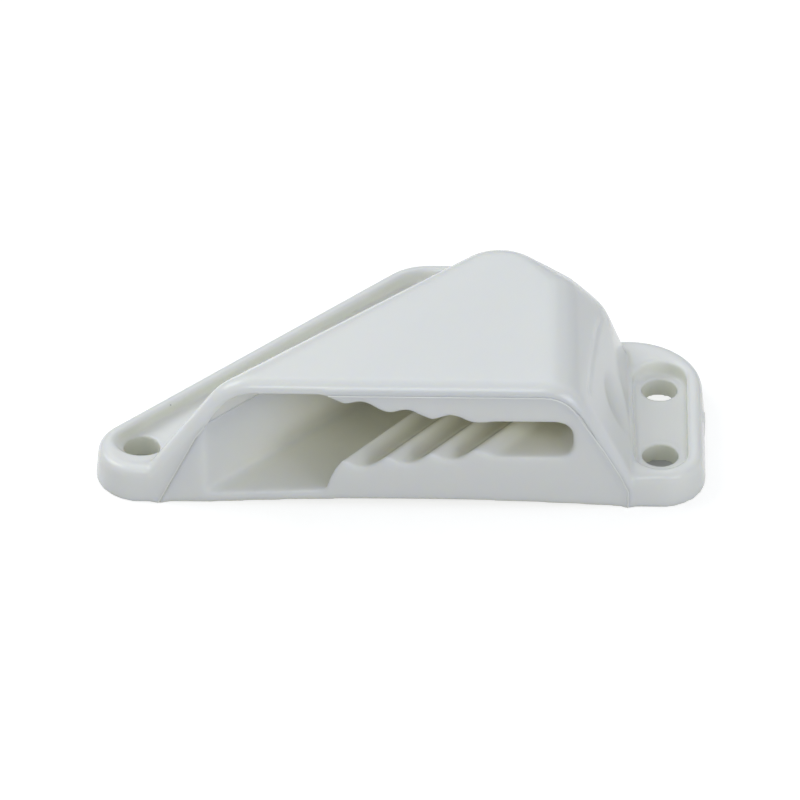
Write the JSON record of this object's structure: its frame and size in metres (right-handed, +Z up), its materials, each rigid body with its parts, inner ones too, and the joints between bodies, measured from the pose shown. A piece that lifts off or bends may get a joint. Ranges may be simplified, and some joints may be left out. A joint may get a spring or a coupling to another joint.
{
  "type": "side-entry jam cleat",
  "caption": "Fixed-jaw side-entry jam cleat: low flange with raised rim and screw holes, hollow hump with an oblique rope channel and a ribbed V slot opening off its front face.",
  "frame": {"origin": "centre of the footprint on the deck plane", "axes": "+X along the front face from the left tip to the right-hand pad, +Y from the front face to the back nose, +Z up from the deck"},
  "size_m": [0.092, 0.0547, 0.0223],
  "materials": {
    "shell": "moulded white nylon, semi-gloss",
    "jaw_block": "moulded white nylon, semi-gloss"
  },
  "bodies": {
    "root": {"shell": "shell", "jaw_block": "jaw_block"}
  },
  "joints": []
}
